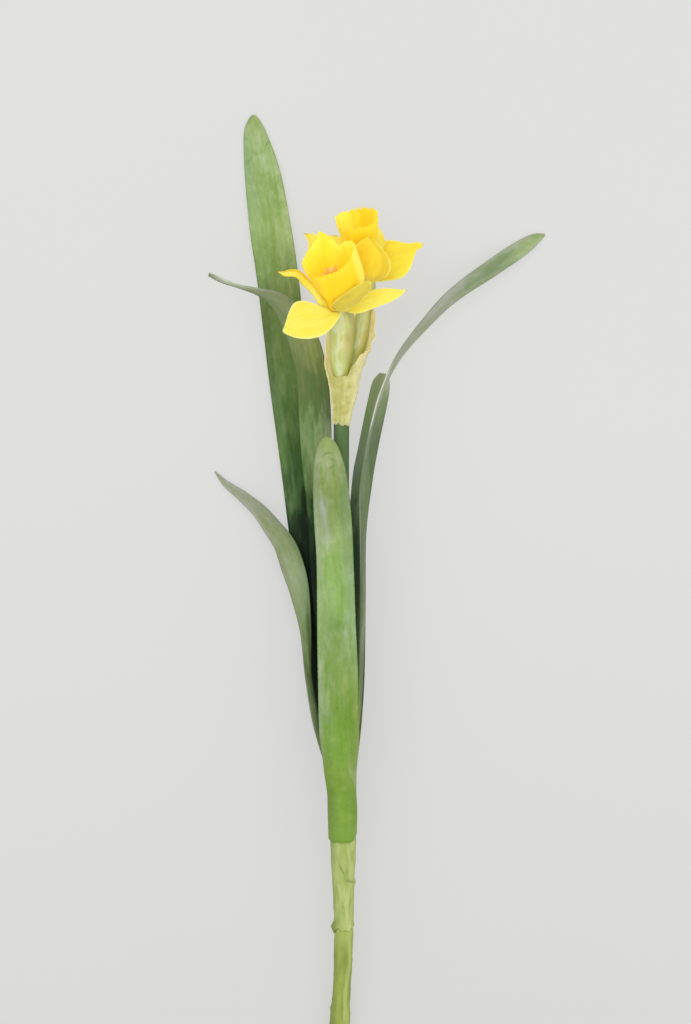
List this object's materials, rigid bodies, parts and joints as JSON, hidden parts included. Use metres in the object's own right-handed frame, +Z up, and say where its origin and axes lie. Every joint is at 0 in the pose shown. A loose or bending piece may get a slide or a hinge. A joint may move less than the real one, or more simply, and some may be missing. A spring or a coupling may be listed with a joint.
{
  "type": "daffodil stem",
  "caption": "Cut daffodil spray lying on its back: yellow trumpet blooms on one stem above a papery spathe, with long green strap leaves sheathed at the foot",
  "frame": {"origin": "centre of the underside of the whole spray, on the surface it lies on", "axes": "+Y runs along the spray from the cut end of the stem to the blooms and leaf tips, +Z is up from the surface, +X is to the right when it is seen from above with the blooms away from the viewer"},
  "size_m": [0.1694, 0.5004, 0.0732],
  "materials": {
    "corona": "pleated dyed cloth",
    "flower_tube": "satin, pale green streaks",
    "stamen": "matte moulded stamens and pistil",
    "back_petal": "thin dyed cloth petal",
    "old_leaf": "dyed cloth leaf, darker",
    "green_leaf": "dyed cloth leaf, long veins",
    "front_petal": "thin dyed cloth petal",
    "grey_leaf": "dyed cloth leaf, greyer",
    "lower_stem": "taped stem, satin",
    "scape": "smooth dark green tube",
    "spathe": "dry papery sheath",
    "stem_wrap": "creased paper wrap"
  },
  "bodies": {
    "root": {"back_corona": "corona", "back_flower_tube": "flower_tube", "back_pistil": "stamen", "back_stamen_1": "stamen", "back_stamen_2": "stamen", "back_stamen_3": "stamen", "back_stamen_4": "stamen", "back_stamen_5": "stamen", "back_stamen_6": "stamen", "back_tepal_below": "back_petal", "back_tepal_front": "back_petal", "back_tepal_left_back": "back_petal", "back_tepal_left_front": "back_petal", "back_tepal_right": "back_petal", "back_tepal_right_back": "back_petal", "bent_leaf": "old_leaf", "front_corona": "corona", "front_flower_tube": "flower_tube", "front_leaf": "green_leaf", "front_pistil": "stamen", "front_stamen_1": "stamen", "front_stamen_2": "stamen", "front_stamen_3": "stamen", "front_stamen_4": "stamen", "front_stamen_5": "stamen", "front_stamen_6": "stamen", "front_tepal_left": "front_petal", "front_tepal_left_back": "front_petal", "front_tepal_left_front": "front_petal", "front_tepal_right": "front_petal", "front_tepal_right_back": "front_petal", "front_tepal_right_front": "front_petal", "long_right_leaf": "grey_leaf", "low_left_leaf": "grey_leaf", "lower_stem": "lower_stem", "scape": "scape", "short_right_leaf": "old_leaf", "spathe": "spathe", "stem_wrap": "stem_wrap", "tall_leaf": "green_leaf"}
  },
  "joints": []
}
